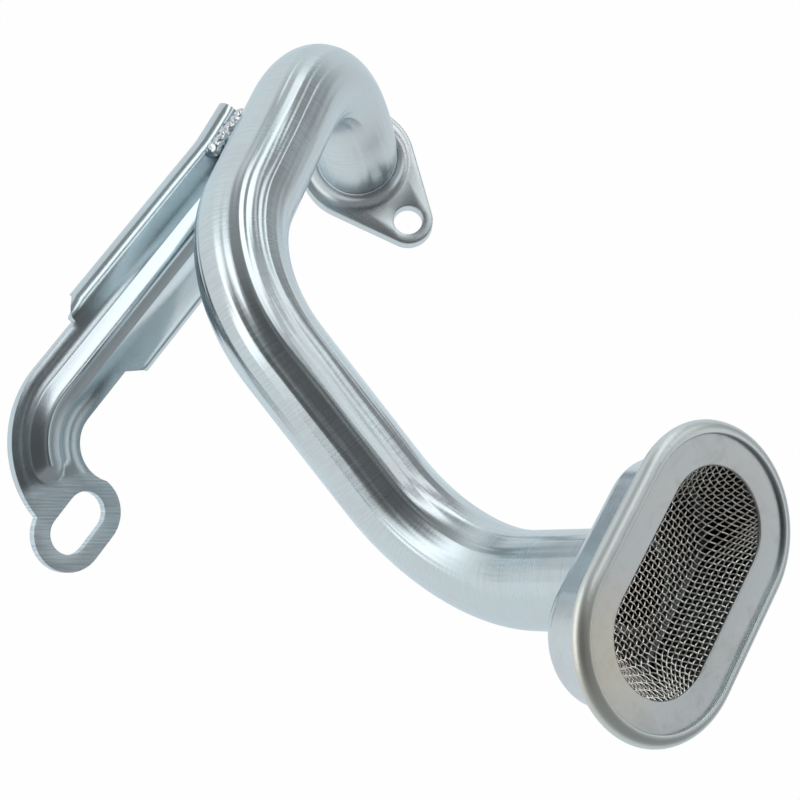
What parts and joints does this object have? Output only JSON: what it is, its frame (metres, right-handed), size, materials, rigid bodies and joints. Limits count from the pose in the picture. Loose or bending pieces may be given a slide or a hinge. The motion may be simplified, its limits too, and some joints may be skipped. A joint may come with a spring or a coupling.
{
  "type": "oil pickup tube",
  "caption": "Bent steel oil pickup tube with a bolted flange and spigot at one end, a screened obround strainer at the other, and a welded stay bracket with a slotted eye.",
  "frame": {"origin": "centre of the flange's mating face, on the axis of the tube's spigot", "axes": "+Z the way the strainer's mouth faces, +X along the strainer's long side from the flange towards the strainer"},
  "size_m": [0.1503, 0.1028, 0.1602],
  "materials": {
    "tube_zinc": "bright zinc plate over drawn tube, fine grain round the tube",
    "flange_zinc": "bright zinc plate over brushed stamping",
    "braze_filler": "smooth plated filler",
    "cup_zinc": "satin zinc plate, lightly smudged",
    "ring_zinc": "satin zinc plate, lightly smudged",
    "screen_wire": "woven steel wire",
    "bracket_zinc": "bright zinc plate, brushed at the eye",
    "weld_bead": "rough plated weld bead"
  },
  "bodies": {
    "root": {"pickup_tube": "tube_zinc", "block_flange": "flange_zinc", "flange_braze": "braze_filler", "strainer_cup": "cup_zinc", "ring_plate": "ring_zinc", "strainer_screen": "screen_wire", "cup_braze": "braze_filler", "stay_bracket": "bracket_zinc", "bracket_welds": "weld_bead"}
  },
  "joints": []
}
